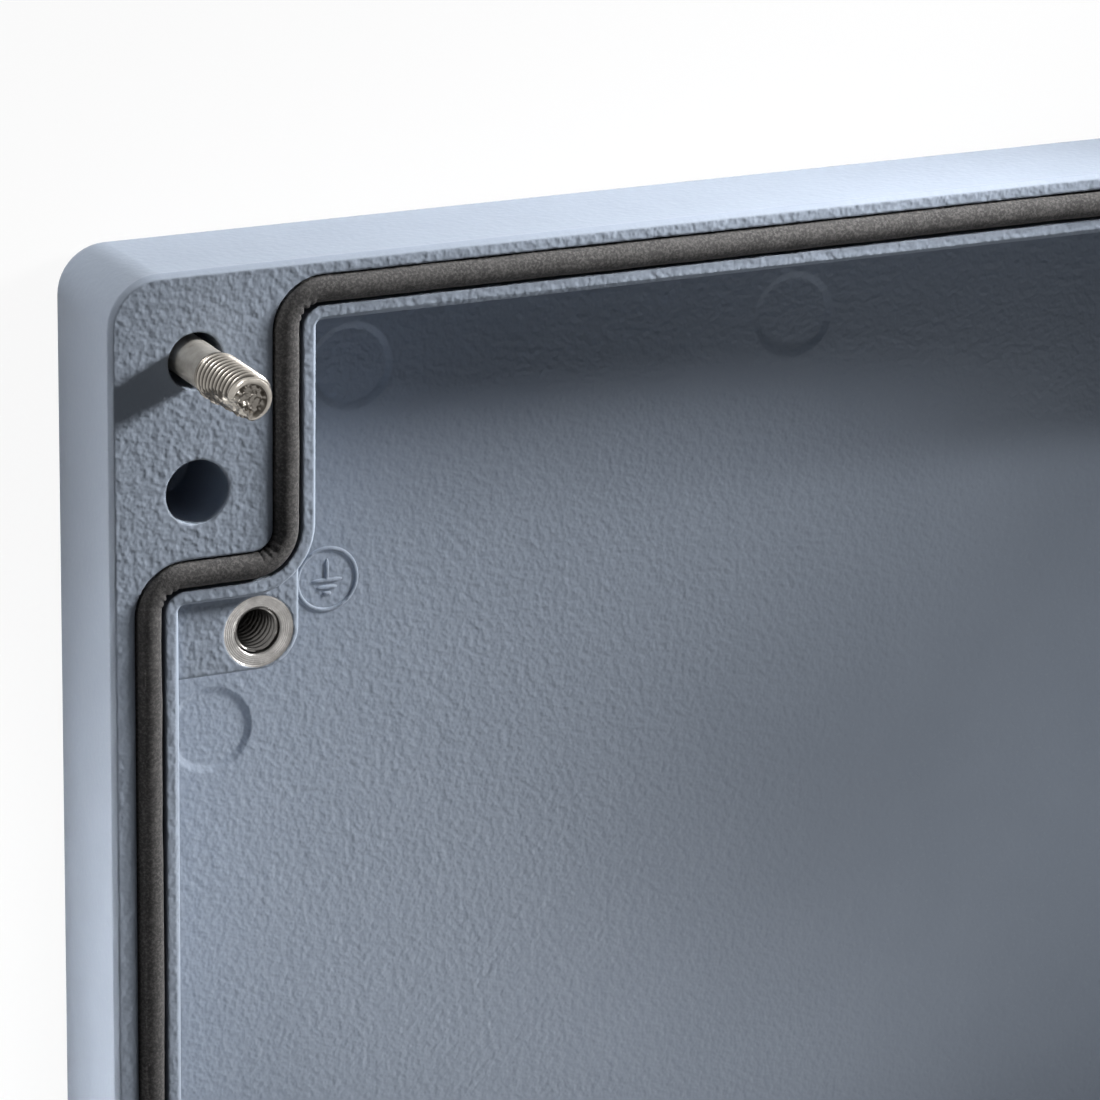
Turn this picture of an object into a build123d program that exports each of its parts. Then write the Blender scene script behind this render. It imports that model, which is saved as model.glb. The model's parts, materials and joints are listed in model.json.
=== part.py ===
"""Cover of a die cast aluminium enclosure, lying on its outer face with its inner side up.

All sizes are in millimetres. X runs across the cover, Y runs along it, and Z points from the
outer face to the rim. The origin is the middle of the outer face. Corners are measured from
the two nearest edges of the rim, as the drawing of a casting gives them.
"""

import os

from build123d import *

# Casting
cover_width = 202.0
cover_length = 232.0
cover_height = 20.0
floor_thickness = 3.0
draft_angle = 1.0
plan_corner_radius = 6.5
outer_face_radius = 2.6
rim_edge_chamfer = 0.6

# Seal groove, with the lip between it and the hollow
side_land = 3.0
end_land = 2.0
groove_width = 4.0
groove_depth = 3.0
lip_width = 1.75
lip_edge_chamfer = 0.35
seal_bend_radius = 4.6

# Corner blocks, from the cover's edges to the groove round them
block_width = 21.0
block_length = 35.9

# Gasket
gasket_gap = 0.25
gasket_proud = 0.9
gasket_crown_chamfer = 0.9

# Captive screws
screw_from_side = 11.1
screw_from_end = 11.1
thread_diameter = 6.0
shank_diameter = 5.2
thread_length = 13.0
screw_length = 31.0
thread_end_chamfer = 0.8
head_diameter = 10.0
head_height = 6.0
socket_across_flats = 5.0
socket_depth = 3.0
head_setback = 0.4

# Washers
head_washer_diameter = 11.0
head_washer_bore = 6.4
head_washer_thickness = 1.6
retaining_washer_thickness = 1.0

# Fits between the screws, the washers and the casting
head_recess_clearance = 0.3
web_bore_clearance = 0.3
retaining_bore_clearance = 0.05
retaining_rim_clearance = 0.1

# Holes round each screw
screw_hole_diameter = 7.2
web_thickness = 3.0

# Blind holes over the heads of the base's fixing screws
pocket_from_side = 11.2
pocket_from_end = 27.5
pocket_diameter = 8.2
pocket_depth = 13.0

# Earth boss and the pad that joins it to the wall and the corner block
boss_from_side = 19.7
boss_from_end = 46.7
boss_radius = 5.0
pad_past_boss = 0.4
pad_below_rim = 1.3
pad_edge_radius = 0.5
boss_face_diameter = 9.2
boss_face_depth = 0.2
earth_hole_diameter = 6.0
earth_hole_depth = 12.0
earth_hole_chamfer = 0.2

# Ejector marks in the floor
mark_radius = 5.7
mark_slope_width = 0.9
mark_depth = 0.35
block_mark_from_side = 38.7
block_mark_from_end = 19.3
wall_mark_from_side = 19.6
wall_mark_from_end = 64.7

# Heights worked out from the sizes above
washer_seat_height = head_setback + head_height + head_washer_thickness
web_top_height = washer_seat_height + web_thickness
head_seat_height = head_setback + head_height
pad_top_height = cover_height - pad_below_rim
thread_start = screw_length - thread_length


def inwards(from_side, from_end):
    """The distances from the cover's middle of a point that is given from its edges."""
    return cover_width / 2 - from_side, cover_length / 2 - from_end


def at_corners(from_side, from_end):
    """The same point at the four corners: upper left, upper right, lower right, lower left."""
    x, y = inwards(from_side, from_end)
    return [(-x, y), (x, y), (x, -y), (-x, -y)]


def seal_cross(growth):
    """The cross inside the gasket's centre line, with sharp corners, grown by a distance."""
    wall_x, wall_y = inwards(side_land + groove_width / 2, end_land + groove_width / 2)
    block_x, block_y = inwards(block_width + groove_width / 2, block_length + groove_width / 2)
    with BuildSketch() as cross:
        Rectangle(2 * (wall_x + growth), 2 * (block_y + growth))
        Rectangle(2 * (block_x + growth), 2 * (wall_y + growth))
    return cross.sketch


def seal_region(growth):
    """The same cross with its twelve corners rounded about the gasket's bends."""
    with BuildSketch() as region:
        add(seal_cross(0))
        fillet(region.vertices(), seal_bend_radius)
        offset(amount=growth, mode=Mode.REPLACE)
    return region.sketch


def seal_ring(half_width):
    """The band of a given half width along the gasket's centre line."""
    with BuildSketch() as ring:
        add(seal_region(half_width))
        add(seal_region(-half_width), mode=Mode.SUBTRACT)
    return ring.sketch


def upright_edges(part):
    """Edges that run from the floor to the rim, those nearest to the cover's middle first."""
    rising = part.edges().filter_by(lambda edge: abs(edge.tangent_at(0).Z) > 0.5)
    return rising.sort_by_distance((0, 0, 0))


def flat_washer(outer_radius, bore_radius, thickness):
    """A washer that lies on the XY plane."""
    with BuildPart() as washer:
        with BuildSketch(Plane.XY):
            Circle(outer_radius)
            Circle(bore_radius, mode=Mode.SUBTRACT)
        extrude(amount=thickness)
    return washer.part


# Pad with the earth boss: its left and upper edges lie inside the wall and the corner block
pad_left, pad_upper = inwards(side_land + groove_width / 2, block_length - 1.0)
pad_right, pad_lower = inwards(
    boss_from_side + boss_radius + pad_past_boss,
    boss_from_end + boss_radius,
)
boss_x, boss_y = inwards(boss_from_side, boss_from_end)

with BuildPart() as earth_pad:
    with BuildSketch(Plane.XY.offset(pad_top_height)) as pad_outline:
        with Locations((-(pad_left + pad_right) / 2, (pad_upper + pad_lower) / 2)):
            Rectangle(pad_left - pad_right, pad_upper - pad_lower)
        boss_corner = pad_outline.vertices().sort_by(Axis.X)[-2:].sort_by(Axis.Y)[0]
        fillet(boss_corner, boss_radius)
    extrude(amount=floor_thickness - pad_top_height, taper=-draft_angle)
    fillet(earth_pad.faces().sort_by(Axis.Z)[-1].edges(), pad_edge_radius)

# Hollow inside the lip: its walls have draft, and its corners are rounded about the gasket's bends
hollow_inset = groove_width / 2 + lip_width
with BuildPart() as hollow:
    with BuildSketch(Plane.XY.offset(cover_height)):
        add(seal_cross(-hollow_inset))
    extrude(amount=floor_thickness - cover_height, taper=draft_angle)
    fillet(upright_edges(hollow)[4:], seal_bend_radius - hollow_inset)
    fillet(upright_edges(hollow)[:4], seal_bend_radius + hollow_inset)

# Casting
screw_points = at_corners(screw_from_side, screw_from_end)
pocket_points = at_corners(pocket_from_side, pocket_from_end)
mark_points = at_corners(block_mark_from_side, block_mark_from_end)
mark_points += at_corners(wall_mark_from_side, wall_mark_from_end)
end_mark_y = cover_length / 2 - block_mark_from_end
mark_points += [(0, end_mark_y), (0, -end_mark_y)]

with BuildPart() as cover:
    with BuildSketch(Plane.XY.offset(cover_height)):
        RectangleRounded(cover_width, cover_length, plan_corner_radius)
    extrude(amount=-cover_height, taper=draft_angle)
    fillet(cover.edges().group_by(Axis.Z)[0], outer_face_radius)
    chamfer(cover.edges().group_by(Axis.Z)[-1], rim_edge_chamfer)

    # Hollow, with the pad standing in its corner
    add(hollow.part, mode=Mode.SUBTRACT)
    add(earth_pad.part)

    # Seal groove
    with BuildSketch(Plane.XY.offset(cover_height)):
        add(seal_ring(groove_width / 2))
    extrude(amount=-groove_depth, mode=Mode.SUBTRACT)

    # Screw holes: a wide bore from the rim, a web, and a recess for the head from the outer face
    with Locations(*[(x, y, cover_height) for x, y in screw_points]):
        CounterBoreHole(
            radius=thread_diameter / 2 + web_bore_clearance,
            counter_bore_radius=screw_hole_diameter / 2,
            counter_bore_depth=cover_height - web_top_height,
        )
    with BuildSketch(Plane.XY):
        with Locations(*screw_points):
            Circle(head_washer_diameter / 2 + head_recess_clearance)
    extrude(amount=washer_seat_height, mode=Mode.SUBTRACT)

    # Blind holes beside the screws
    with BuildSketch(Plane.XY.offset(cover_height)):
        with Locations(*pocket_points):
            Circle(pocket_diameter / 2)
    extrude(amount=-pocket_depth, mode=Mode.SUBTRACT)

    # The lip is the smaller of the two faces in the plane of the rim, and its inner edge is broken
    lip_face = cover.faces().filter_by(Axis.Z).group_by(Axis.Z)[-1].sort_by(SortBy.AREA)[0]
    chamfer(lip_face.inner_wires()[0].edges(), lip_edge_chamfer)

    # Faced and tapped earth boss
    with Locations((-boss_x, boss_y, pad_top_height)):
        CounterBoreHole(
            radius=earth_hole_diameter / 2,
            counter_bore_radius=boss_face_diameter / 2,
            counter_bore_depth=boss_face_depth,
            depth=earth_hole_depth,
        )
    boss_face_height = pad_top_height - boss_face_depth
    earth_hole_edge = cover.edges().filter_by(GeomType.CIRCLE).filter_by(
        lambda edge: abs(edge.radius - earth_hole_diameter / 2) < 0.001
        and abs(edge.center().Z - boss_face_height) < 0.001
    )
    chamfer(earth_hole_edge, earth_hole_chamfer)

    # Ejector marks: shallow discs with sloping edges
    with Locations(*[(x, y, floor_thickness) for x, y in mark_points]):
        Cone(
            bottom_radius=mark_radius - mark_slope_width,
            top_radius=mark_radius,
            height=mark_depth,
            align=(Align.CENTER, Align.CENTER, Align.MAX),
            mode=Mode.SUBTRACT,
        )

cover.part.label = "cover"

# Gasket: a closed cord with a crowned top, standing proud of the rim
with BuildPart() as gasket:
    with BuildSketch(Plane.XY.offset(cover_height - groove_depth)):
        add(seal_ring(groove_width / 2 - gasket_gap))
    extrude(amount=groove_depth + gasket_proud)
    chamfer(gasket.faces().sort_by(Axis.Z)[-1].edges(), gasket_crown_chamfer)

gasket.part.label = "gasket"

# One screw on the Z axis with the underside of its head at the origin: head, reduced shank, thread
with BuildPart() as screw:
    with BuildSketch(Plane.XZ):
        with BuildLine():
            Polyline(
                (0, -head_height),
                (head_diameter / 2, -head_height),
                (head_diameter / 2, 0),
                (shank_diameter / 2, 0),
                (shank_diameter / 2, thread_start),
                (thread_diameter / 2, thread_start),
                (thread_diameter / 2, screw_length - thread_end_chamfer),
                (thread_diameter / 2 - thread_end_chamfer, screw_length),
                (0, screw_length),
                close=True,
            )
        make_face()
    revolve(axis=Axis.Z)
    with BuildSketch(Plane.XY.offset(-head_height)):
        RegularPolygon(radius=socket_across_flats / 2, side_count=6, major_radius=False)
    extrude(amount=socket_depth, mode=Mode.SUBTRACT)

# The washer under the head, and the one round the reduced shank, which is too small inside for the
# thread and too wide for the web's bore
head_washer = flat_washer(head_washer_diameter / 2, head_washer_bore / 2, head_washer_thickness)
retaining_washer = flat_washer(
    screw_hole_diameter / 2 - retaining_rim_clearance,
    shank_diameter / 2 + retaining_bore_clearance,
    retaining_washer_thickness,
)

os.makedirs("parts", exist_ok=True)
export_step(cover.part, "parts/cover.step")
export_step(gasket.part, "parts/gasket.step")

corner_pieces = {
    "cover_screw": (screw.part, head_seat_height),
    "head_washer": (head_washer, head_seat_height),
    "retaining_washer": (retaining_washer, web_top_height),
}
for number, (x, y) in enumerate(screw_points, start=1):
    for name, (piece, height) in corner_pieces.items():
        with BuildPart() as placed:
            with Locations((x, y, height)):
                add(piece)
        placed.part.label = f"{name}_{number}"
        export_step(placed.part, f"parts/{name}_{number}.step")
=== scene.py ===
import json
import math

import bpy
from mathutils import Matrix, Vector, noise


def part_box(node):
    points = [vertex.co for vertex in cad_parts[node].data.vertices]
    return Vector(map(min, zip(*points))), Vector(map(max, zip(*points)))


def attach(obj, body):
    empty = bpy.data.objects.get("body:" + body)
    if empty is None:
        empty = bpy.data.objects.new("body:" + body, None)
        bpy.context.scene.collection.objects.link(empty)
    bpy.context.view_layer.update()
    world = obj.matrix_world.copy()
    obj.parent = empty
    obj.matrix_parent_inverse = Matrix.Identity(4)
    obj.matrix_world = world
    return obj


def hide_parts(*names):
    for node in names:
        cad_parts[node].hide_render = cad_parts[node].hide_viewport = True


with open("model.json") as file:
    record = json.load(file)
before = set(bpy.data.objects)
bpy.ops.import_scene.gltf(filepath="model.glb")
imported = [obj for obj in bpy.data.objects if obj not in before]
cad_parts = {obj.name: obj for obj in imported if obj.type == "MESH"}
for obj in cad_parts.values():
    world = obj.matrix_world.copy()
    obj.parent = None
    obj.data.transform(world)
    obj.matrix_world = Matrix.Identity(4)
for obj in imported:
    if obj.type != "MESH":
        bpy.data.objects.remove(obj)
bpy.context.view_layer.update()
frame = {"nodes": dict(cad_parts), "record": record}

MM = 0.001
TURN = 2 * math.pi

# Nodes, places and sizes that the frame gives
nodes = frame["nodes"]
corner_numbers = (1, 2, 3, 4)


def box_mm(node):
    """Lowest and highest corner of a CAD node, in millimetres."""
    low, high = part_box(node)
    return low / MM, high / MM


def axis_mm(node):
    """The middle of a round upright node, in millimetres."""
    low, high = box_mm(node)
    return (low.x + high.x) / 2, (low.y + high.y) / 2


gasket_low, gasket_high = box_mm("gasket")
screw_axis = axis_mm("cover_screw_2")

# Camera, worked out from the straight edges of the photograph; its lens and sensor are in millimetres
camera_place = (-0.3265, 0.2879, 0.6066)
camera_back = (-0.41413, 0.31022, 0.85572)
camera_up = (0.12062, 0.95054, -0.28622)
camera_lens = 180.3
camera_sensor = 36.0
camera_clip_start = 0.01

# Powder coat: coarseness of steep faces, and what level faces and the rim's level faces add to it
steep_texture = 0.3
level_texture = 0.95
rim_texture = 0.15
rim_texture_from = 18.2
level_facing = 0.9

# Seal groove and gasket, in millimetres
seal_half_width = 1.75
seal_bend_radius = 4.6
seal_run_step = 0.8
seal_bend_step = 0.16
block_corner_x = 78.0
block_corner_y = 78.1
gasket_half_width = 1.70
gasket_lean = 0.06
gasket_shoulder = 19.2
gasket_flank_drop = 0.9
gasket_foot_radius = 0.3
gasket_foot_share = 0.8
gasket_crown_points = 13
gasket_crown_fullness = 0.85

# Unevenness of the foam cord, and the length in millimetres over which each kind of it changes
cord_sway = 0.08
cord_sway_length = 9.0
cord_swell_share = 0.03
cord_swell_length = 5.0
cord_dent = 0.10
cord_dent_length = 3.1

# Folds on the inside of a bend: place as a share of half the bend, then depth and width in millimetres
bend_creases = (
    (0.0, 0.55, 0.35),
    (-0.34, 0.28, 0.22),
    (0.3, 0.32, 0.25),
    (0.62, 0.2, 0.2),
    (-0.66, 0.18, 0.2),
)
crease_fade = 1.5
crease_pull = 0.8
crease_sink = 0.35

# Faced and tapped boss
boss_x, boss_y = -81.3, 69.3
boss_face_height = 18.5
boss_face_radius = 4.6
boss_turning_pitch = 0.26
earth_hole_floor = 6.7
earth_thread_major_radius = 2.99
earth_thread_minor_radius = 2.52
earth_thread_above_floor = 0.2
earth_thread_below_face = 0.25
earth_thread_sides = 64

# How far the bare metal goes past the boss: beside its face, under the hole's floor and over its face
bare_beside = 0.06
bare_under = 0.5
bare_over = 0.18

# Earth sign, raised from the floor of the hollow: bars by half length and drop under the first bar
hollow_floor = 3.0
sign_x, sign_y = -65.5, 69.2
sign_radius = 4.05
sign_sides = 64
sign_upright = 2.7
sign_bar_drop = 0.15
sign_bars = ((2.1, 0.0), (1.4, 0.95), (0.6, 1.75))
ridge_width = 0.62
ridge_height = 0.24
ridge_sink = 0.05
ridge_end_width = 0.55
ridge_end_height = 0.3
ridge_steps = 6

# Screws: heights along the screw from the underside of the head
thread_pitch = 1.0
thread_major_radius = 3.0
thread_minor_radius = 2.42
thread_flat = 0.16
thread_flank = 0.68
thread_rows = 8
thread_start = 19.2
thread_run_out = 2.6
thread_first_depth = 0.12
shank_radius = 2.6
shoulder_length = 1.3
screw_sides = 96
screw_turn_step = 75
screw_tip = 31.0
tip_taper_length = 1.0
tip_taper_slope = 0.5
flute_angle = math.radians(218)
flute_half_width = math.radians(75)
flute_start = 20.0
flute_depth = 1.5
flute_roughness = 0.5
flute_tears_along = 1.7
flute_tears_around = 3.5

# Cut end of the screw: its edge as radius and height over the tip, and the torn crater inside that edge
cut_end_radius = 2.5
cut_end_edge = ((cut_end_radius, 0.0), (2.42, 0.05), (2.16, 0.0), (2.04, -0.25))
cut_end_flute_slope = 0.6
crater_mouth_radius = 2.3
crater_torn_radius = 2.0
crater_depth = 0.5
crater_roughness = 0.5
crater_tears = 2.1
crater_shift = Vector((-0.22, -0.20))
centre_radius = 0.02

# Head of the screw and its socket
head_radius = 5.0
head_height = 6.0
head_edge = 0.5
head_lower_edge = 0.15
neck_fillet_width = 0.25
neck_fillet_height = 0.3
socket_across_flats = 5.0
socket_radius = socket_across_flats / math.sqrt(3)
socket_depth = 3.0
socket_cone = 0.9
socket_foot_share = 0.97
socket_lead_in = 0.25
socket_mouth_share = 0.93
socket_mouth_edge = 0.1
screw_seat = box_mm("cover_screw_2")[0].z + head_height

# Studio: the floor's half size is in metres and its drop in millimetres
ambient_colour = (0.75, 0.86, 1.0, 1.0)
ambient_strength = 0.03
floor_half_size = 2.0
floor_drop = 0.05
floor_glow = 0.93


class Signal:
    """An output socket of a finish. The operators on it add Math nodes to the same finish."""

    def __init__(self, finish, socket):
        self.finish = finish
        self.socket = socket

    def __add__(self, other):
        return self.finish.math("ADD", self, other)

    def __sub__(self, other):
        return self.finish.math("SUBTRACT", self, other)

    def __rsub__(self, other):
        return self.finish.math("SUBTRACT", other, self)

    def __mul__(self, other):
        return self.finish.math("MULTIPLY", self, other)

    def __lt__(self, other):
        return self.finish.math("LESS_THAN", self, other)

    def __gt__(self, other):
        return self.finish.math("GREATER_THAN", self, other)

    __radd__ = __add__
    __rmul__ = __mul__


class Finish:
    """A procedural material. Its nodes come from node(), and surface() feeds its shader."""

    def __init__(self, name):
        self.material = bpy.data.materials.new(name)
        self.material.use_nodes = True
        self.tree = self.material.node_tree
        self.shader = self.tree.nodes["Principled BSDF"]
        self.place = self.node("TexCoord", output="Object")

    def node(self, kind, settings=None, inputs=None, output=0):
        """Adds a node of a kind, with its settings first, then its sockets, and gives one output."""
        added = self.tree.nodes.new("ShaderNode" + kind)
        for name, value in (settings or {}).items():
            setattr(added, name, value)
        self.feed(added, inputs or {})
        return Signal(self, added.outputs[output])

    def feed(self, node, inputs):
        """Gives sockets of a node their values or links."""
        for name, value in inputs.items():
            if isinstance(value, Signal):
                self.tree.links.new(value.socket, node.inputs[name])
            else:
                node.inputs[name].default_value = value

    def surface(self, **inputs):
        """Feeds the shader; base_color stands for its socket Base Color."""
        for name, value in inputs.items():
            socket = name.replace("_", " ").title().replace("Ior", "IOR")
            self.feed(self.shader, {socket: value})

    def math(self, operation, *values):
        """A Math node on signals and numbers."""
        return self.node("Math", {"operation": operation}, dict(enumerate(values)))

    def grain(self, size, detail=2.0, roughness=0.5, stretch=(1.0, 1.0, 1.0)):
        """Noise whose features are about size millimetres wide, stretched along an axis where asked."""
        place = self.node("VectorMath", {"operation": "DIVIDE"}, {0: self.place, 1: stretch})
        sockets = {"Vector": place, "Scale": 1 / (size * MM), "Detail": detail, "Roughness": roughness}
        return self.node("TexNoise", {}, sockets)

    def rise(self, value, low, high):
        """A smooth step from 0 at low to 1 at high."""
        sockets = {"Value": value, "From Min": low, "From Max": high}
        return self.node("MapRange", {"interpolation_type": "SMOOTHSTEP"}, sockets)

    def blend(self, share, first, second):
        """A colour between two colours."""
        return self.node("Mix", {"data_type": "RGBA"}, {0: share, 6: first, 7: second}, output=2)

    def relief(self, height, depth, normal=None):
        """A bumped normal; height runs from 0 to 1 and depth is in millimetres."""
        sockets = {"Height": height, "Distance": depth * MM, "Strength": 1.0}
        if normal is not None:
            sockets["Normal"] = normal
        return self.node("Bump", {}, sockets)

    def soft_edges(self, radius):
        """A normal that rounds sharp edges off by a radius in millimetres."""
        return self.node("Bevel", {"samples": 6}, {"Radius": radius * MM})

    def height(self):
        """Height over the cover's outer face, in metres."""
        return self.node("SeparateXYZ", {}, {0: self.place}, output="Z")

    def from_axis(self, x, y, place=None):
        """Distance in metres from an upright axis through a point in millimetres."""
        flat = self.node("VectorMath", {"operation": "MULTIPLY"}, {0: place or self.place, 1: (1, 1, 0)})
        ends = {0: flat, 1: (x * MM, y * MM, 0)}
        return self.node("VectorMath", {"operation": "DISTANCE"}, ends, output="Value")


def colour(red, green, blue):
    """An opaque colour from its linear shares."""
    return red, green, blue, 1.0


def powder_coated_casting():
    """Blue-grey coarse powder coat, with the bare faced boss and tapped hole left free of it."""
    finish = Finish("powder_coated_casting")
    height = finish.height()
    out = finish.from_axis(boss_x, boss_y)
    beside = out < (boss_face_radius + bare_beside) * MM
    above_hole = height > (earth_hole_floor - bare_under) * MM
    below_face = height < (boss_face_height + bare_over) * MM
    bare = beside * above_hole * below_face

    facing = finish.node("NewGeometry", output="True Normal")
    level = finish.node("SeparateXYZ", {}, {0: facing}, output="Z") > level_facing
    texture = steep_texture + level * (level_texture + (height > rim_texture_from * MM) * rim_texture)
    peel = finish.grain(0.85, 0.0) * 0.7 + finish.grain(0.45, 0.0) * 0.3
    rings = finish.math("SINE", out * (TURN / (boss_turning_pitch * MM)))
    turned = rings * 0.2 + finish.grain(0.3, 2.0) * 0.8

    cloud = finish.grain(9.0, 2.0)
    paint = finish.blend(cloud, colour(0.272, 0.313, 0.378), colour(0.298, 0.340, 0.408))
    specks = finish.rise(finish.grain(0.4, 1.0), 0.62, 0.74) * 0.25
    paint = finish.blend(specks, paint, colour(0.34, 0.38, 0.44))
    metal = finish.blend(finish.grain(1.2, 3.0), colour(0.16, 0.155, 0.15), colour(0.46, 0.445, 0.43))

    edges = finish.soft_edges(0.5)
    coat = finish.relief(peel * texture, 0.13, edges)
    cut = finish.relief(turned, 0.05, edges)
    normal = finish.node("Mix", {"data_type": "VECTOR"}, {0: bare, 4: coat, 5: cut}, output=1)
    finish.surface(
        base_color=finish.blend(bare, paint, metal),
        metallic=bare,
        roughness=0.46 - bare * 0.14 + finish.grain(2.0) * 0.08,
        normal=normal,
        specular_ior_level=0.15,
    )
    return finish.material


def gasket_foam():
    """Dark foam rubber with a matt skin that lies in small uneven pores."""
    finish = Finish("gasket_foam")
    pores = finish.grain(0.35, 3.0, 0.6)
    folds = finish.grain(2.6, 2.0)
    rubber = finish.blend(folds, colour(0.040, 0.039, 0.040), colour(0.078, 0.075, 0.074))
    finish.surface(
        base_color=finish.blend(finish.rise(pores, 0.4, 0.7), rubber, colour(0.12, 0.116, 0.113)),
        roughness=0.7 + pores * 0.2,
        specular_ior_level=0.08,
        normal=finish.relief(pores * 0.6 + folds * 0.4, 0.07),
    )
    return finish.material


def stainless_steel():
    """Stainless steel with faint turned lines, a duller shank, painted shade in the thread roots and a dark
    cut end.
    """
    finish = Finish("stainless_steel")
    height = finish.height()
    # The screws mirror one another, so one axis, that of the second, serves for all four
    mirrored = finish.node("VectorMath", {"operation": "ABSOLUTE"}, {0: finish.place})
    out = finish.from_axis(*screw_axis, mirrored)

    shank_high = screw_seat + thread_start + 0.7
    thread_low = screw_seat + thread_start + 0.6
    thread_high = screw_seat + screw_tip - 0.7
    end_low = screw_seat + screw_tip - 0.9
    shank = (height < shank_high * MM) * finish.rise(out, 2.2 * MM, 2.5 * MM)
    threaded = (height > thread_low * MM) * (height < thread_high * MM)
    crest = finish.rise(out, 2.70 * MM, 3.03 * MM)
    # Painted shade: the thread roots are darkened in colour where shade falls between the crests
    root = (1.0 - crest) * finish.rise(out, 2.2 * MM, 2.45 * MM) * threaded
    end = (height > end_low * MM) * (1.0 - finish.rise(out, 1.9 * MM, 2.3 * MM))

    stain = finish.grain(0.9, 3.0)
    bright = finish.blend(stain, colour(0.23, 0.21, 0.185), colour(0.50, 0.47, 0.425))
    dull = finish.blend(stain, colour(0.22, 0.205, 0.185), colour(0.48, 0.46, 0.42))
    steel = finish.blend(shank, bright, dull)
    lines = finish.grain(0.18, 2.0, 0.5, stretch=(6.0, 6.0, 1.0))
    # The dark colour is painted shade in the thread roots, and it also darkens the crater of the cut end
    finish.surface(
        base_color=finish.blend(root * 0.95 + end * 0.55, steel, colour(0.05, 0.045, 0.04)),
        metallic=1.0 - shank * 0.5,
        roughness=0.26 + stain * 0.18 + shank * 0.15,
        normal=finish.relief(lines, 0.012),
    )
    return finish.material


def faced_aluminium():
    """Bare tapped aluminium with fine lines from the tap, its colour darkened as painted shade of the deep
    hole.
    """
    finish = Finish("faced_aluminium")
    lines = finish.grain(0.12, 2.0, 0.5, stretch=(8.0, 8.0, 1.0))
    finish.surface(
        # Painted shade: the tapped hole's metal is coloured dark for the shade deep in the hole
        base_color=finish.blend(lines, colour(0.05, 0.048, 0.045), colour(0.26, 0.25, 0.24)),
        metallic=1.0,
        roughness=0.26 + lines * 0.15,
        normal=finish.relief(lines, 0.01),
    )
    return finish.material


def retaining_washer_plastic():
    """Black polyamide with a fine moulded grain."""
    finish = Finish("retaining_washer_plastic")
    grain = finish.grain(0.15, 2.0)
    finish.surface(
        base_color=finish.blend(grain, colour(0.018, 0.018, 0.019), colour(0.03, 0.03, 0.032)),
        roughness=0.45 + grain * 0.15,
        normal=finish.relief(grain, 0.01),
    )
    return finish.material


finishes = {
    "powder_coated_casting": powder_coated_casting(),
    "gasket_foam": gasket_foam(),
    "stainless_steel": stainless_steel(),
    "faced_aluminium": faced_aluminium(),
    "retaining_washer_plastic": retaining_washer_plastic(),
}


def piece(name, points, faces, slot, body, sharp_angle):
    """A mesh from points in millimetres, with the slot of its finish, its body and its sharp edges."""
    mesh = bpy.data.meshes.new(name)
    mesh.from_pydata([Vector(point) * MM for point in points], [], faces)
    mesh.validate()
    mesh.materials.append(finishes[slot])
    mesh.shade_smooth()
    mesh.set_sharp_from_angle(angle=math.radians(sharp_angle))
    made = bpy.data.objects.new(name, mesh)
    bpy.context.scene.collection.objects.link(made)
    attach(made, body)
    return made


def ring_faces(first, second, count):
    """Quads between two closed rings of points, given by the index where each ring starts."""
    return [
        (first + i, first + (i + 1) % count, second + (i + 1) % count, second + i)
        for i in range(count)
    ]


def seal_corners():
    """The corners of the gasket's centre line, anticlockwise seen from above."""
    wall_x = gasket_high.x - seal_half_width
    wall_y = gasket_high.y - seal_half_width
    quarter = [(wall_x, block_corner_y), (block_corner_x, block_corner_y), (block_corner_x, wall_y)]
    mirrored = [(-x, y) for x, y in reversed(quarter)]
    upper = quarter + mirrored
    return upper + [(-x, -y) for x, y in upper]


def seal_stations():
    """Stations along the centre line: place, direction, and for a bend its side and its share.

    The side is 1 or -1, and 0 on a straight run. The share runs from -1 to 1 over the bend.
    """
    corners = [Vector(corner) for corner in seal_corners()]
    stations = []
    for index, corner in enumerate(corners):
        before = corners[index - 1]
        after = corners[(index + 1) % len(corners)]
        inward = (corner - before).normalized()
        outward = (after - corner).normalized()
        side = 1 if inward.cross(outward) > 0 else -1
        run_start = before + inward * seal_bend_radius
        bend_start = corner - inward * seal_bend_radius
        length = (bend_start - run_start).length
        steps = max(2, round(length / seal_run_step))
        for step in range(steps):
            stations.append((run_start.lerp(bend_start, step / steps), inward, 0, 0.0))
        centre = bend_start + outward * seal_bend_radius
        steps = round(seal_bend_radius * math.pi / 2 / seal_bend_step)
        for step in range(steps):
            angle = math.pi / 2 * step / steps
            direction = inward * math.cos(angle) + outward * math.sin(angle)
            place = centre + (inward * math.sin(angle) - outward * math.cos(angle)) * seal_bend_radius
            stations.append((place, direction, side, 2 * step / steps - 1))
    return stations


def gasket_section():
    """Points across the cord, from left foot over the crown to right foot.

    Each has its sideways share of half the width, its height and its share of the crown.
    """
    flank_low = gasket_low.z + gasket_foot_radius
    flank_high = gasket_shoulder - gasket_flank_drop
    crown = gasket_high.z - gasket_shoulder
    section = [(-1.0, flank_low, 0.0), (-1.0, flank_high, 0.0)]
    for index in range(gasket_crown_points):
        angle = math.pi * (1 - index / (gasket_crown_points - 1))
        rise = math.sin(angle) ** gasket_crown_fullness
        section.append((math.cos(angle), gasket_shoulder + crown * rise, rise))
    section += [(1.0, flank_high, 0.0), (1.0, flank_low, 0.0)]
    section += [(gasket_foot_share, gasket_low.z, 0.0), (-gasket_foot_share, gasket_low.z, 0.0)]
    return section


def crease_depth(share):
    """How deep the folds of a bend are at a share of the bend."""
    arc = share * seal_bend_radius * math.pi / 4
    return sum(
        depth * math.exp(-((arc - place * seal_bend_radius * math.pi / 4) / width) ** 2)
        for place, depth, width in bend_creases
    )


def unevenness(place, layer, length):
    """A smooth chance value from about -1 to 1 over the plan; each layer has other values."""
    return noise.noise(Vector((place.x, place.y, layer)) / length)


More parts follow.
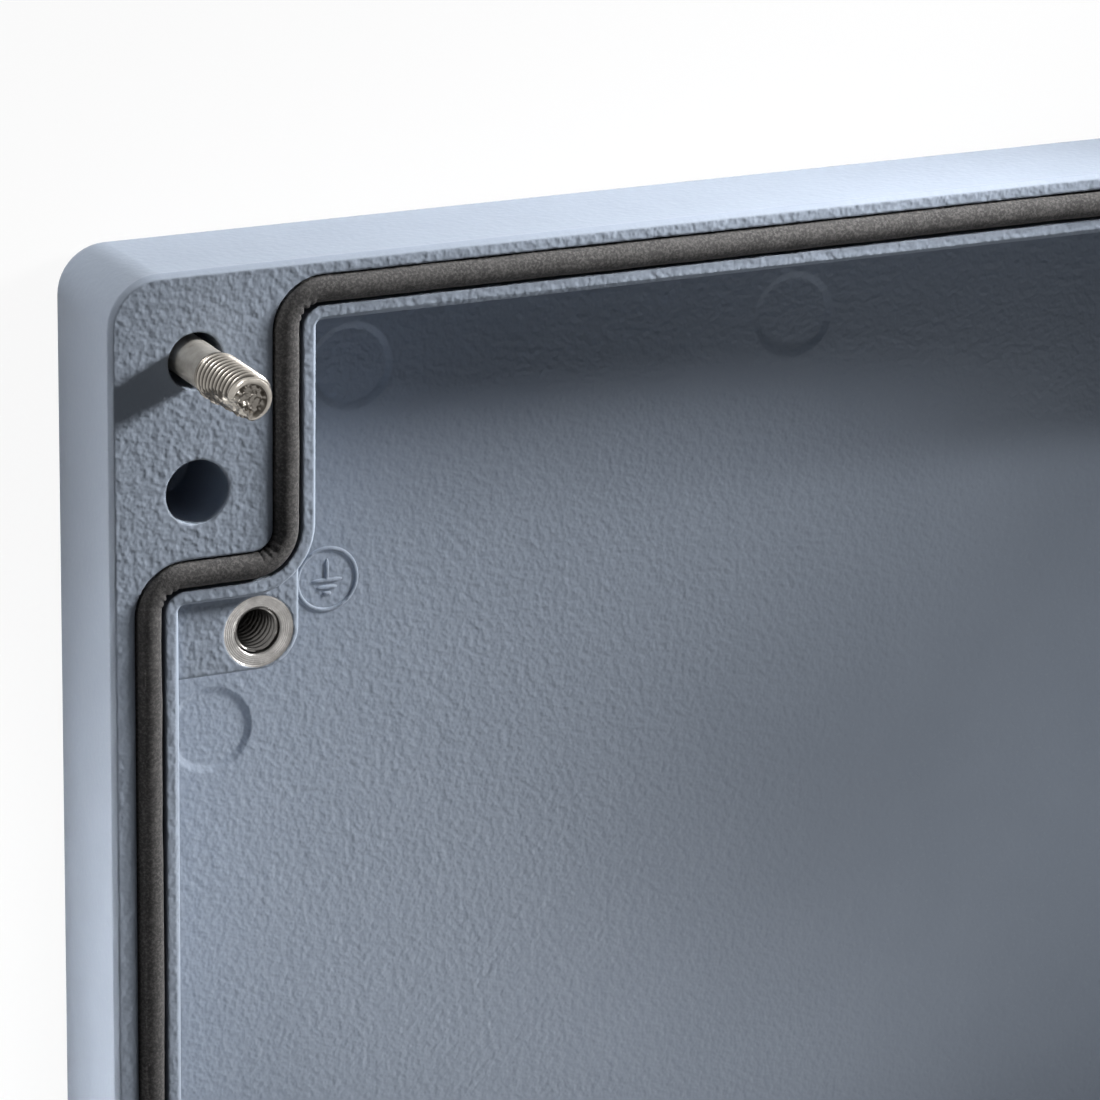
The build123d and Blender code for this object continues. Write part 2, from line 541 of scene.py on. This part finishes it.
def foam_gasket():
    """The foam cord in its groove, uneven along its length and creased on the inside of each bend."""
    section = gasket_section()
    points = []
    faces = []
    for place, direction, side, share in seal_stations():
        sideways = Vector((-direction.y, direction.x))
        sway = cord_sway * unevenness(place, 3.0, cord_sway_length)
        swell = 1 + cord_swell_share * unevenness(place, 8.0, cord_swell_length)
        for across, height, crown in section:
            offset = across * gasket_half_width * swell + sway
            inner = max(0.0, across * side)
            fold = crease_depth(share) * inner ** crease_fade if side else 0.0
            offset -= side * fold * crease_pull + gasket_lean
            spot = Vector((place.x, place.y, height))
            dent = cord_dent * noise.noise(spot / cord_dent_length) * crown - crease_sink * fold * crown
            side_place = place + sideways * offset
            points.append((side_place.x, side_place.y, min(height + dent, gasket_high.z)))
    count = len(section)
    stations = len(points) // count
    for index in range(stations):
        faces += ring_faces(index * count, (index + 1) % stations * count, count)
    cord = piece("foam_gasket", points, faces, "gasket_foam", "cover", sharp_angle=50)
    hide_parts("gasket")


foam_gasket()


def helix_points(radius_at, low, high, around):
    """Points on a helical sheet between two heights, ring by ring, with faces that close its seam."""
    rows = math.ceil((high - low) / thread_pitch * thread_rows)
    points = []
    for row in range(-thread_rows, rows + 1):
        for column in range(around + 1):
            angle = TURN * column / around
            height = low + thread_pitch * (row / thread_rows + column / around)
            clamped = min(max(height, low), high)
            radius = radius_at((row % thread_rows) / thread_rows, clamped, angle)
            points.append((radius * math.cos(angle), radius * math.sin(angle), clamped))
    faces = []
    width = around + 1
    margin = 1e-6
    for row in range(rows + thread_rows):
        for column in range(around):
            corner = row * width + column
            square = (corner, corner + 1, corner + width + 1, corner + width)
            heights = [points[i][2] for i in square]
            if max(heights) > low + margin and min(heights) < high - margin:
                faces.append(square)
    return points, faces


def thread_profile(phase):
    """Share of the thread's depth from its root, 0, to its crest, 1, over one pitch."""
    wave = 1 - abs(2 * phase - 1)
    return min(max((wave - thread_flat) / thread_flank, 0.0), 1.0)


def flute_distance(height):
    """Distance of the cutting flute's flat from the screw's axis."""
    return thread_major_radius - flute_depth * (height - flute_start) / (screw_tip - flute_start)


def flute_reach(height, angle):
    """Radius at which the flute's flat cuts the screw off, or a large one beside the flute."""
    away = abs((angle - flute_angle + math.pi) % TURN - math.pi)
    if height < flute_start or away > flute_half_width:
        return 2 * thread_major_radius
    spot = Vector((height * flute_tears_along, angle * flute_tears_around, 1.0))
    torn = flute_roughness * noise.noise(spot)
    return (flute_distance(height) + torn) / math.cos(away)


def screw_radius(phase, height, angle):
    """Radius of the screw's threaded part, with its run-out, shoulder, tapered tip and cutting flute."""
    started = min((height - thread_start) / thread_run_out, 1.0)
    depth = thread_major_radius - thread_minor_radius
    depth *= thread_first_depth + (1 - thread_first_depth) * started
    radius = thread_major_radius - depth * (1 - thread_profile(phase))
    shoulder = min((height - thread_start) / shoulder_length, 1.0)
    radius = shank_radius + (radius - shank_radius) * shoulder
    tip = max(0.0, height - (screw_tip - tip_taper_length))
    radius = min(radius, thread_major_radius - tip_taper_slope * tip)
    return min(radius, flute_reach(height, angle))


def socket_hexagon(angle):
    """Radius of the socket's hexagon at an angle."""
    from_flat = (angle + math.pi / 6) % (math.pi / 3) - math.pi / 6
    return socket_radius * math.cos(math.pi / 6) / math.cos(from_flat)


def socket_foot(angle):
    """Radius of the socket at its foot."""
    return socket_hexagon(angle) * socket_foot_share


def socket_mouth(angle):
    """Radius of the socket's mouth, where a round lead-in cuts the corners of the flats."""
    return max(socket_hexagon(angle), socket_radius * socket_mouth_share) + socket_mouth_edge


def head_and_shank():
    """Height of each ring from the socket's centre to the shank's end, with a radius or a radius by angle."""
    return [
        (socket_depth - head_height + socket_cone, centre_radius),
        (socket_depth - head_height, socket_foot),
        (-head_height + socket_lead_in, socket_hexagon),
        (-head_height, socket_mouth),
        (-head_height, head_radius - head_edge),
        (-head_height + head_edge, head_radius),
        (-head_lower_edge, head_radius),
        (0, head_radius - head_lower_edge),
        (0, shank_radius + neck_fillet_width),
        (neck_fillet_height, shank_radius),
        (thread_start, shank_radius),
    ]


def cut_end_rings():
    """Radius and height over the tip of each ring of the cut end, from its edge to its centre."""
    crater = [(tenths / 10, -crater_depth) for tenths in range(19, 2, -2)]
    return [*cut_end_edge, *crater, (centre_radius, -crater_depth)]


def cut_end_point(radius, lift, angle):
    """A point of the cut end, which the flute cuts into and whose crater is torn and off centre."""
    reach = min(radius, flute_reach(screw_tip, angle) - (cut_end_radius - radius) * cut_end_flute_slope)
    place = Vector((reach * math.cos(angle), reach * math.sin(angle)))
    if radius < crater_mouth_radius:
        place += crater_shift * reach / 2
    torn = 0.0
    if radius < crater_torn_radius:
        spot = Vector((place.x, place.y, 5.0)) * crater_tears
        torn = crater_roughness * noise.noise(spot)
    return place.x, place.y, screw_tip + lift + torn


def screw_mesh():
    """Points and faces of a whole screw that stands on the underside of its head."""
    points, faces = helix_points(screw_radius, thread_start, screw_tip, screw_sides)
    angles = [TURN * index / screw_sides for index in range(screw_sides)]

    def join(rings):
        for first, second in zip(rings, rings[1:]):
            faces.extend(ring_faces(first, second, screw_sides))

    rings = []
    for height, reach in head_and_shank():
        rings.append(len(points))
        for angle in angles:
            radius = reach(angle) if callable(reach) else reach
            points.append((radius * math.cos(angle), radius * math.sin(angle), height))
    join(rings)

    rings = []
    for radius, lift in cut_end_rings():
        rings.append(len(points))
        points += [cut_end_point(radius, lift, angle) for angle in angles]
    join(rings)
    return points, faces


screw_points, screw_faces = screw_mesh()
for number in corner_numbers:
    node = f"cover_screw_{number}"
    screw_x, screw_y = axis_mm(node)
    seat = box_mm(node)[0].z + head_height
    turned = Matrix.Rotation(math.radians(screw_turn_step * (number - 1)), 3, "Z")
    centre = Vector((screw_x, screw_y, seat))
    placed = [turned @ Vector(point) + centre for point in screw_points]
    body = f"screw_{number}"
    screw = piece(f"captive_screw_{number}", placed, screw_faces, "stainless_steel", body, sharp_angle=40)
    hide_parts(node)


def earth_hole_radius(phase, height, angle):
    """Radius of the tapped hole's wall, whose crests point inwards, the same at any height and angle."""
    depth = earth_thread_major_radius - earth_thread_minor_radius
    return earth_thread_major_radius - depth * thread_profile(phase)


def earth_hole_thread():
    """The tapped thread that lines the earth hole."""
    low = earth_hole_floor + earth_thread_above_floor
    high = boss_face_height - earth_thread_below_face
    points, faces = helix_points(earth_hole_radius, low, high, earth_thread_sides)
    placed = [(x + boss_x, y + boss_y, z) for x, y, z in points]
    inward = [tuple(reversed(face)) for face in faces]
    piece("earth_hole_thread", placed, inward, "faced_aluminium", "cover", sharp_angle=40)


earth_hole_thread()


def ridge(path, closed):
    """Points and faces of a low rounded ridge on the floor of the hollow, along a path in millimetres."""
    section = [(-1.0, 0.0), (-0.82, 0.5), (-0.45, 0.9), (0.0, 1.0), (0.45, 0.9), (0.82, 0.5), (1.0, 0.0)]
    points = []
    faces = []
    count = len(path)
    for index, (x, y) in enumerate(path):
        before = path[index - 1] if index or closed else path[0]
        after = path[(index + 1) % count] if index < count - 1 or closed else path[-1]
        direction = (Vector(after) - Vector(before)).normalized()
        end = not closed and index in (0, count - 1)
        width_share = ridge_end_width if end else 1.0
        height_share = ridge_end_height if end else 1.0
        for across, rise in section:
            offset = across * ridge_width / 2 * width_share
            height = hollow_floor - ridge_sink + (ridge_height + ridge_sink) * rise * height_share
            points.append((x - direction.y * offset, y + direction.x * offset, height))
    width = len(section)
    for index in range(count if closed else count - 1):
        first = index * width
        second = (index + 1) % count * width
        faces += [(first + i, second + i, second + i + 1, first + i + 1) for i in range(width - 1)]
    return points, faces


def line(start, end):
    """Points along a straight stroke."""
    return [tuple(Vector(start).lerp(Vector(end), step / ridge_steps)) for step in range(ridge_steps + 1)]


def earth_sign():
    """The raised protective earth sign beside the boss: a ring with one upright and three bars."""
    angles = [TURN * index / sign_sides for index in range(sign_sides)]
    ring = [
        (sign_x + sign_radius * math.cos(angle), sign_y + sign_radius * math.sin(angle))
        for angle in angles
    ]
    bar_height = sign_y - sign_bar_drop
    strokes = [(ring, True), (line((sign_x, sign_y + sign_upright), (sign_x, bar_height)), False)]
    for half, drop in sign_bars:
        bar = line((sign_x - half, bar_height - drop), (sign_x + half, bar_height - drop))
        strokes.append((bar, False))
    points = []
    faces = []
    for path, closed in strokes:
        more_points, more_faces = ridge(path, closed)
        faces += [tuple(i + len(points) for i in face) for face in more_faces]
        points += more_points
    piece("earth_sign", points, faces, "powder_coated_casting", "cover", sharp_angle=60)


earth_sign()

# Finishes of the CAD nodes that stay in view
for name, node in nodes.items():
    slot = next(row["material_slot"] for row in frame["record"]["subparts"] if row["node"] == name)
    node.data.materials.clear()
    node.data.materials.append(finishes[slot])


def area_lamp(name, size, power, spread):
    """A rectangular area lamp; its size is in metres, its power in watts and its spread in degrees."""
    lamp = bpy.data.lights.new(name, "AREA")
    lamp.shape = "RECTANGLE"
    lamp.size, lamp.size_y = size
    lamp.energy = power
    lamp.spread = math.radians(spread)
    made = bpy.data.objects.new(name, lamp)
    made.visible_camera = False
    bpy.context.scene.collection.objects.link(made)
    return made


def softbox(name, heading, elevation, distance, size, level, spread, aim):
    """A lamp that faces its aim; at level 1 it alone shows a white surface that faces it as white.

    Heading, elevation and spread are in degrees; distance, size and aim are in metres.
    """
    half = math.radians(spread / 2)
    narrowed = 1 - half / math.tan(half)
    made = area_lamp(name, size, level * (math.pi * distance) ** 2 * narrowed, spread)
    flat = math.cos(math.radians(elevation))
    turn = math.radians(heading)
    direction = Vector((flat * math.cos(turn), flat * math.sin(turn), math.sin(math.radians(elevation))))
    made.location = Vector(aim) + direction * distance
    made.rotation_euler = direction.to_track_quat("Z", "Y").to_euler()


def table_light(name, place, size, level, spread):
    """A lamp that points down at the floor beside the cover, which then lights the cover's side."""
    made = area_lamp(name, size, level * math.pi * size[0] * size[1], spread)
    made.location = place


# Name, heading, elevation, distance, size and level of each lamp
softbox("key_strip", 28, 13, 0.3, (0.046, 0.08), 3.25, spread=40, aim=(-0.09, 0.08, 0.02))
softbox("right_upper_fill", 80, 26, 1.2, (0.10, 0.14), 1.0, spread=8, aim=(0.05, 0.03, 0.0))
softbox("right_fill", 300, 62, 0.25, (0.06, 0.06), 0.30, spread=36, aim=(0.03, 0.03, 0.0))
softbox("upper_left_lamp", 115, 4, 0.22, (0.06, 0.04), 0.80, spread=100, aim=(-0.1, 0.116, 0.01))
softbox("lower_left_lamp", 340, 26, 0.24, (0.05, 0.05), 1.15, spread=34, aim=(-0.088, 0.01, 0.003))
softbox("low_front_lamp", 262, 12, 1.2, (0.3, 0.08), 0.27, spread=40, aim=(0.0, 0.0, 0.0))
table_light("left_table_light", (-0.225, -0.05, 0.12), (0.16, 0.22), 17.5, 52)


def studio():
    """A white surround for straight, see-through and glossy rays, and a weak bluish ambient for the rest."""
    world = bpy.data.worlds.new("studio")
    bpy.context.scene.world = world
    world.use_nodes = True
    tree = world.node_tree
    ambient = tree.nodes["Background"]
    ambient.inputs["Color"].default_value = ambient_colour
    ambient.inputs["Strength"].default_value = ambient_strength
    surround = tree.nodes.new("ShaderNodeBackground")
    surround.inputs["Color"].default_value = colour(1, 1, 1)
    rays = tree.nodes.new("ShaderNodeLightPath")
    straight = tree.nodes.new("ShaderNodeMath")
    straight.operation = "ADD"
    seen = tree.nodes.new("ShaderNodeMath")
    seen.operation = "ADD"
    seen.use_clamp = True
    mixed = tree.nodes.new("ShaderNodeMixShader")
    tree.links.new(rays.outputs["Is Camera Ray"], straight.inputs[0])
    tree.links.new(rays.outputs["Is Transmission Ray"], straight.inputs[1])
    tree.links.new(rays.outputs["Is Glossy Ray"], seen.inputs[0])
    tree.links.new(straight.outputs[0], seen.inputs[1])
    tree.links.new(seen.outputs[0], mixed.inputs[0])
    tree.links.new(ambient.outputs[0], mixed.inputs[1])
    tree.links.new(surround.outputs[0], mixed.inputs[2])
    tree.links.new(mixed.outputs[0], tree.nodes["World Output"].inputs[0])


def pale_floor():
    """A plain pale floor that shows white to the camera and keeps part of the shadow."""
    finish = Finish("pale_floor")
    finish.surface(base_color=colour(0.80, 0.80, 0.80), roughness=0.9)
    rays = ("Is Camera Ray", "Is Glossy Ray", "Is Transmission Ray")
    seen = sum(finish.node("LightPath", output=ray) for ray in rays)
    glow = finish.node("Emission", {}, {"Color": colour(1, 1, 1), "Strength": 1.0})
    shaded = Signal(finish, finish.shader.outputs[0])
    mixed = finish.node("MixShader", {}, {0: seen * floor_glow, 1: shaded, 2: glow})
    finish.feed(finish.tree.nodes["Material Output"], {"Surface": mixed})
    half = floor_half_size
    mesh = bpy.data.meshes.new("floor")
    corners = [(-half, -half), (half, -half), (half, half), (-half, half)]
    mesh.from_pydata([(x, y, -floor_drop * MM) for x, y in corners], [], [(0, 1, 2, 3)])
    mesh.materials.append(finish.material)
    floor = bpy.data.objects.new("floor", mesh)
    bpy.context.scene.collection.objects.link(floor)


studio()
pale_floor()


def place_camera():
    """The camera at the photograph's place, turned as the photograph is."""
    camera_data = bpy.data.cameras.new("camera")
    camera_data.lens = camera_lens
    camera_data.sensor_width = camera_sensor
    camera_data.clip_start = camera_clip_start
    camera = bpy.data.objects.new("camera", camera_data)
    bpy.context.scene.collection.objects.link(camera)
    back = Vector(camera_back).normalized()
    right = Vector(camera_up).cross(back).normalized()
    up = back.cross(right)
    turn = Matrix((right, up, back)).transposed().to_4x4()
    camera.matrix_world = Matrix.Translation(camera_place) @ turn
    bpy.context.scene.camera = camera


place_camera()
bpy.context.scene.view_settings.view_transform = "Standard"
